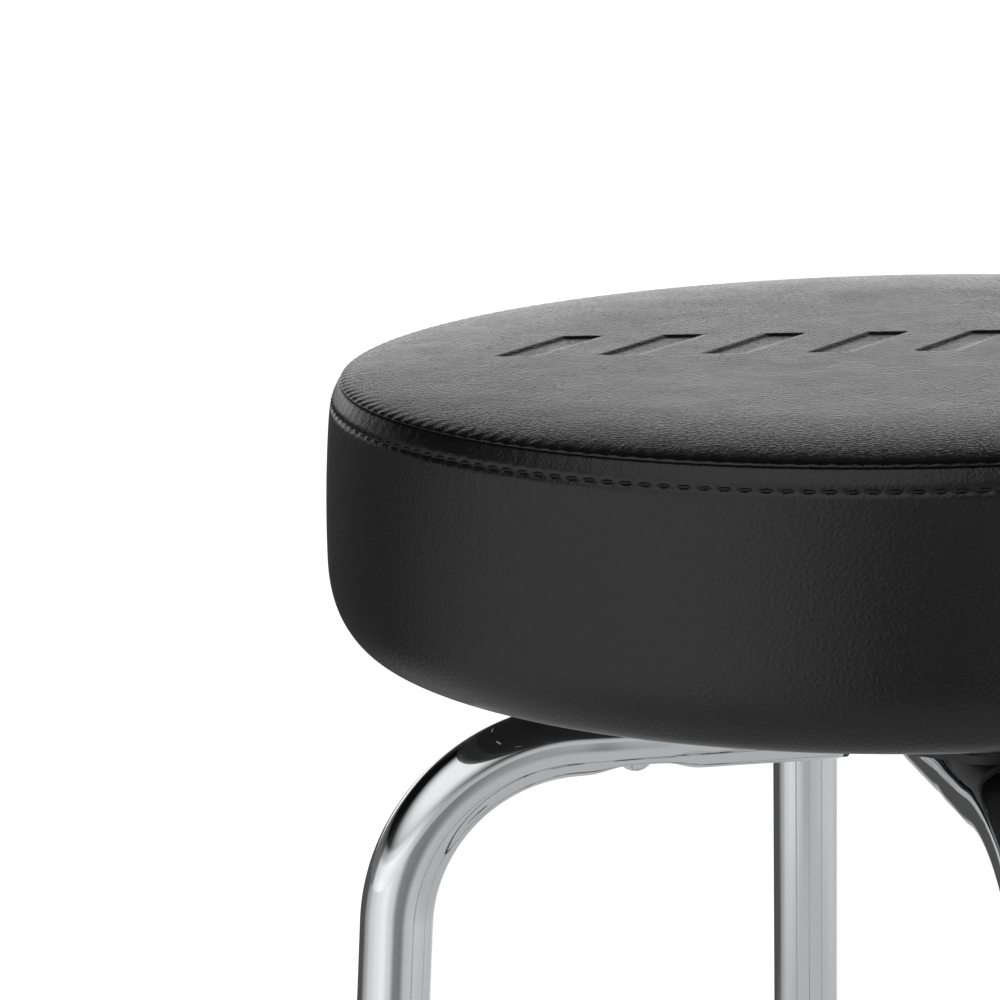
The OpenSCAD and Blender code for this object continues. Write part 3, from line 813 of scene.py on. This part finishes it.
def floor():
    """A white floor that glows, and the glow is painted light. To the camera it is painted darker near the stool, a
    painted shadow. What it gives back to the stool is a darker floor and a glow that varies, as boards and cards round
    it would, painted dimmer near the stool as painted shade.
    """
    size = 30
    obj = mesh_object("floor", [(-size, -size, 0), (size, -size, 0), (size, size, 0), (-size, size, 0)],
                      [(0, 1, 2, 3)], smooth_shade=False)
    m = Nodes("floor", Roughness=0.9)
    place = m.coords()
    split = m.node("SeparateXYZ")
    m.link(place, split.inputs[0])
    x, y, _ = split.outputs
    away = m.math("SQRT", m.math("ADD", m.math("MULTIPLY", x, x), m.math("MULTIPLY", y, y)))
    m.shader.inputs["Base Color"].default_value = (0.86, 0.86, 0.86, 1)
    m.shader.inputs["Emission Color"].default_value = (1, 1, 1, 1)
    # painted shadow: the glow the camera sees is 0.50 near the stool and 0.95 further out
    seen = m.spread(away, 0.2, 1.35, 0.50, 0.95)
    # painted light: round the stool the floor glows brighter or darker, in place of boards and cards
    cards = m.ramp(m.turn(place), [
        (0.00, 0.95), (0.05, 0.90), (0.10, 0.45), (0.18, 0.55), (0.34, 0.58), (0.42, 0.48), (0.47, 0.13), (0.51, 0.15),
        (0.555, 0.62), (0.61, 0.88), (0.66, 0.76), (0.72, 0.60), (0.775, 0.30), (0.82, 0.01), (0.945, 0.0), (0.975, 0.8),
        (1.00, 0.95),
    ])
    # painted shade: near the stool the glow it gives the stool is a flat 0.42; further out it follows the cards
    glow_to_stool = m.blend(m.spread(away, 0.7, 1.3), 0.42, cards)
    direct = m.node("LightPath").outputs["Is Camera Ray"]
    m.link(m.blend(direct, glow_to_stool, seen), m.shader.inputs["Emission Strength"])
    # painted shade: for all but camera rays the floor's colour is a darker 0.22, for camera rays 0.86
    m.link(m.blend(direct, 0.22, 0.86), m.shader.inputs["Base Color"])
    obj.data.materials.append(m.material)


def studio():
    """White paper low all round, darker towards two sides, a dim ceiling and one wide soft light."""
    world = bpy.data.worlds.new("studio")
    bpy.context.scene.world = world
    world.use_nodes = True
    w = Graph(world.node_tree)
    back = world.node_tree.nodes["Background"]
    place = w.node("TexCoord").outputs["Generated"]
    height = w.math("DIVIDE", w.math("ARCSINE", w.dot(place, (0, 0, 1))), math.pi / 2)
    around = w.ramp(w.turn(place), [
        (0.00, 1.0), (0.10, 1.0), (0.17, 0.35), (0.26, 0.35), (0.34, 0.60), (0.44, 0.42), (0.50, 0.38),
        (0.57, 0.62), (0.68, 0.85), (0.74, 0.65), (0.785, 0.14), (0.865, 0.12), (0.915, 1.0), (1.00, 1.0),
    ])
    upward = w.ramp(height, [(0.00, 1.30), (0.08, 1.18), (0.125, 0.62), (0.168, 0.04), (0.60, 0.02), (1.00, 0.04)])
    overhead = w.spread(w.dot(place, toward(math.radians(34), math.radians(50))), 0.62, 0.96, 0.0, 0.95)
    level = w.math("ADD", w.math("MULTIPLY", around, upward), overhead)
    w.link(level, back.inputs["Strength"])
    back.inputs["Color"].default_value = (1, 1, 1, 1)


def camera():
    """A long lens from a little above the seat, turned and tipped as the view needs."""
    away = 1185.3 * MM
    above_stitch = 201.4 * MM
    yaw, pitch, roll = -0.10404, 0.19579, -0.03398
    forward = Vector((math.sin(yaw) * math.cos(pitch), math.cos(yaw) * math.cos(pitch), -math.sin(pitch)))
    right = Vector((math.cos(yaw), -math.sin(yaw), 0))
    up = right.cross(forward)
    right, up = (right * math.cos(roll) + up * math.sin(roll), up * math.cos(roll) - right * math.sin(roll))
    turn = Matrix.Rotation(VIEW_TURN, 3, "Z")
    axes = Matrix((turn @ right, turn @ up, turn @ -forward)).transposed()
    place = turn @ Vector((0, -away, 0)) + Vector((0, 0, STITCH_Z + above_stitch))
    data = bpy.data.cameras.new("camera")
    data.sensor_width = 36
    data.lens = 145.03
    data.clip_end = 100
    obj = bpy.data.objects.new("camera", data)
    obj.matrix_world = Matrix.Translation(place) @ axes.to_4x4()
    bpy.context.scene.collection.objects.link(obj)
    bpy.context.scene.camera = obj


floor()
studio()
camera()
scene = bpy.context.scene
scene.view_settings.view_transform = "Standard"
scene.view_settings.look = "None"
